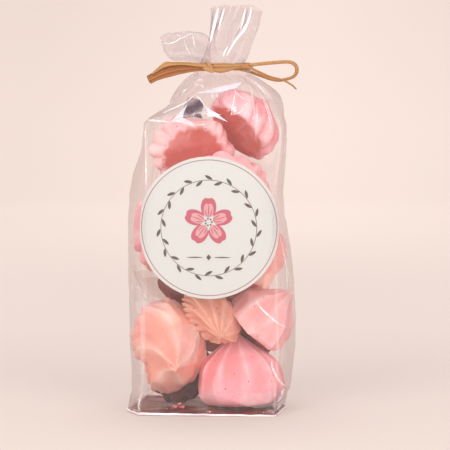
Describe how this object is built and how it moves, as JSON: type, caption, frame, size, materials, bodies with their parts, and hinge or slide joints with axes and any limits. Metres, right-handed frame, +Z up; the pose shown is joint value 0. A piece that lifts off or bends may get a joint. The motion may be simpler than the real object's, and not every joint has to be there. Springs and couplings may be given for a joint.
{
  "type": "clear gift bag of meringue cookies",
  "caption": "Clear block-bottom gift bag filled with pink meringue cookies, gathered and tied with raffia, with a round sticker on the front.",
  "frame": {"origin": "centre of the base, on the surface that the bag stands on", "axes": "+Z up from the base to the ruffle; the front panel with the sticker faces -Y; +X is to the right seen from the front"},
  "size_m": [0.0858, 0.0554, 0.201],
  "materials": {
    "film": "clear glossy cellophane over pink meringues",
    "sticker_paper": "matt off-white label paper",
    "raffia": "dry natural palm fibre, light tan to brown"
  },
  "bodies": {
    "root": {"bag": "film", "sticker": "sticker_paper", "raffia_tie": "raffia"}
  },
  "joints": []
}
